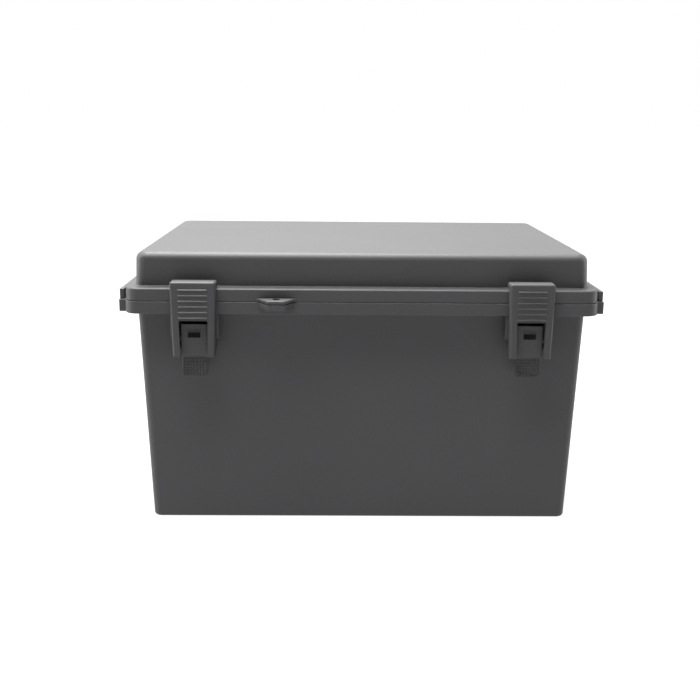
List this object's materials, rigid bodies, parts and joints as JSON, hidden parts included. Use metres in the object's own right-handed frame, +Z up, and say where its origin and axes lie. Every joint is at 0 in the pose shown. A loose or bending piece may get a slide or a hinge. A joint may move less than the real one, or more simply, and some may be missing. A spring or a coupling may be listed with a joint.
{
  "type": "battery box",
  "caption": "Moulded grey enclosure for a battery, with a hinged gasketed lid, draw latches, a padlock eye and side guide rails.",
  "frame": {"origin": "centre of the tub's flat underside", "axes": "+X to the right seen from the latches, +Y from the latches to the hinges, +Z up"},
  "size_m": [0.4116, 0.3257, 0.2387],
  "materials": {
    "grey_plastic": "satin moulded",
    "seal_rubber": "matte",
    "steel": "satin",
    "brass": "turned and knurled"
  },
  "bodies": {
    "base": {"base_shell": "grey_plastic", "hinge_base_leaf_left": "grey_plastic", "hinge_base_leaf_right": "grey_plastic", "hinge_pin_left": "steel", "hinge_pin_right": "steel", "hinge_base_screw_left_a": "steel", "hinge_base_screw_left_b": "steel", "hinge_base_screw_right_a": "steel", "hinge_base_screw_right_b": "steel", "lever_pin_left": "steel", "lever_pin_right": "steel", "insert_front_left": "brass", "insert_front_right": "brass", "insert_back_left": "brass", "insert_back_right": "brass"},
    "lid": {"lid_shell": "grey_plastic", "lid_gasket": "seal_rubber", "hinge_lid_leaf_left": "grey_plastic", "hinge_lid_leaf_right": "grey_plastic", "hinge_lid_screw_left_a": "steel", "hinge_lid_screw_left_b": "steel", "hinge_lid_screw_right_a": "steel", "hinge_lid_screw_right_b": "steel"},
    "lever_left": {"latch_lever_left": "grey_plastic"},
    "claw_left": {"latch_claw_left": "grey_plastic", "claw_pin_left": "steel"},
    "lever_right": {"latch_lever_right": "grey_plastic"},
    "claw_right": {"latch_claw_right": "grey_plastic", "claw_pin_right": "steel"}
  },
  "joints": [
    {"name": "lid_hinge", "type": "hinge", "parent": "base", "child": "lid", "pos_m": [0, 0.158, 0.1993], "axis": [-1, 0, 0], "range_deg": [0, 110]},
    {"name": "lever_left_swing", "type": "hinge", "parent": "base", "child": "lever_left", "pos_m": [-0.141, -0.146, 0.178], "axis": [-1, 0, 0], "range_deg": [0, 95]},
    {"name": "claw_left_swing", "type": "hinge", "parent": "lever_left", "child": "claw_left", "pos_m": [-0.141, -0.1445, 0.161], "axis": [-1, 0, 0], "range_deg": [-115, 0]},
    {"name": "lever_right_swing", "type": "hinge", "parent": "base", "child": "lever_right", "pos_m": [0.141, -0.146, 0.178], "axis": [-1, 0, 0], "range_deg": [0, 95]},
    {"name": "claw_right_swing", "type": "hinge", "parent": "lever_right", "child": "claw_right", "pos_m": [0.141, -0.1445, 0.161], "axis": [-1, 0, 0], "range_deg": [-115, 0]}
  ],
  "couplings": [
    {"joint": "claw_left_swing", "follows": "lever_left_swing", "ratio": -1.2},
    {"joint": "claw_right_swing", "follows": "lever_right_swing", "ratio": -1.2}
  ]
}
